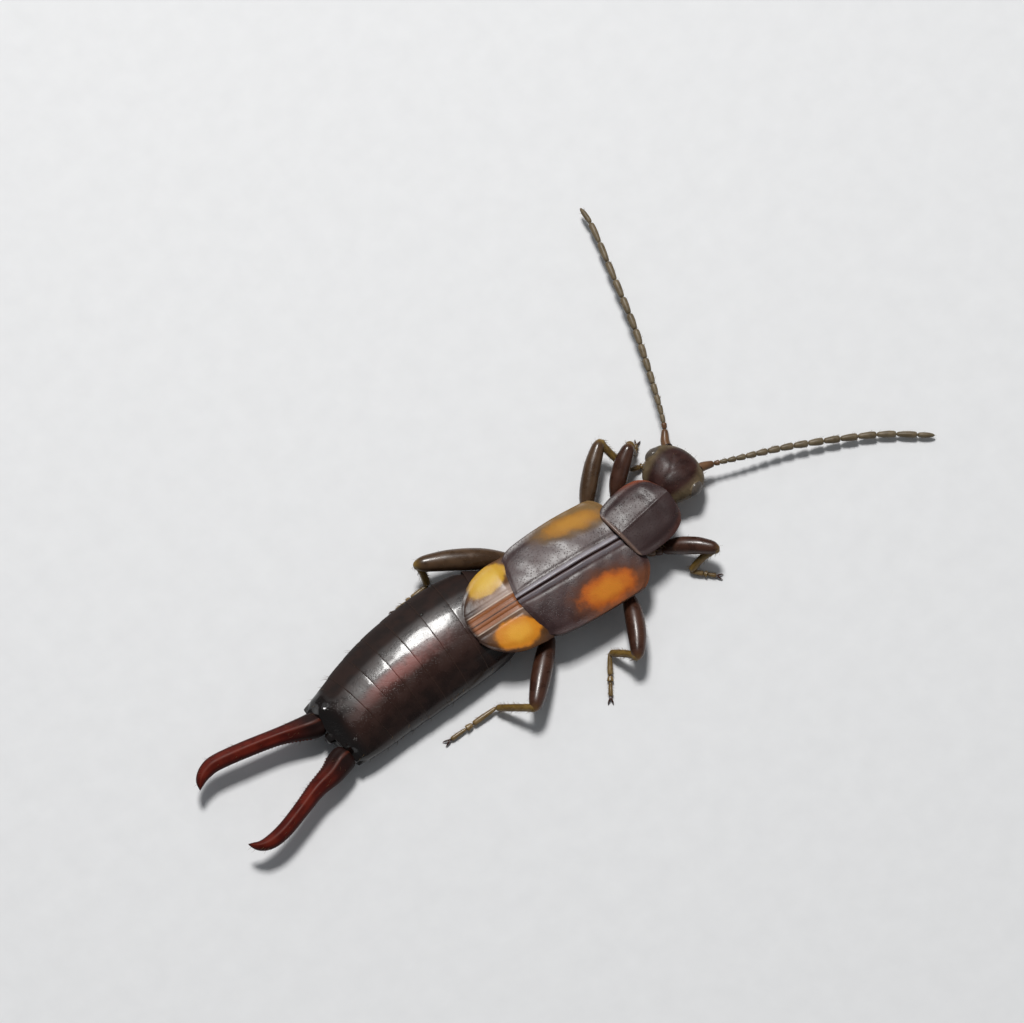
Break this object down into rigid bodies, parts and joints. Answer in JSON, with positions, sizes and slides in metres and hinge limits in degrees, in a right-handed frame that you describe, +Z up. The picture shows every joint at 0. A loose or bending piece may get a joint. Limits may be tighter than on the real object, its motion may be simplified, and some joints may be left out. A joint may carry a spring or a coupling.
{
  "type": "earwig, life-size display model",
  "caption": "Still life-size earwig resting on its belly and feet: beaded feelers spread, short spotted fore wings, folded wing tips, long ringed abdomen and curved forceps.",
  "frame": {"origin": "on the floor, under the middle of the whole animal with its feelers and legs spread", "axes": "+X forward along the body, +Y to the animal's left, +Z up"},
  "size_m": [0.0364, 0.0192, 0.0024],
  "materials": {
    "shell": "gloss",
    "wing_leather": "satin",
    "amber": "satin",
    "forceps_red": "gloss",
    "leg": "satin",
    "feeler": "satin",
    "eye": "satin",
    "underside": "satin"
  },
  "bodies": {
    "root": {"abdomen": "shell", "antenna_left": "feeler", "antenna_right": "feeler", "eye_left": "eye", "eye_right": "eye", "forceps_left": "forceps_red", "forceps_right": "forceps_red", "fore_wing_left": "wing_leather", "fore_wing_right": "wing_leather", "forebody": "underside", "head": "shell", "hindbody": "underside", "leg_front_left": "leg", "leg_front_right": "leg", "leg_middle_left": "leg", "leg_middle_right": "leg", "leg_hind_left": "leg", "leg_hind_right": "leg", "mouthparts": "underside", "pronotum": "wing_leather", "wing_tip_left": "amber", "wing_tip_right": "amber"}
  },
  "joints": []
}
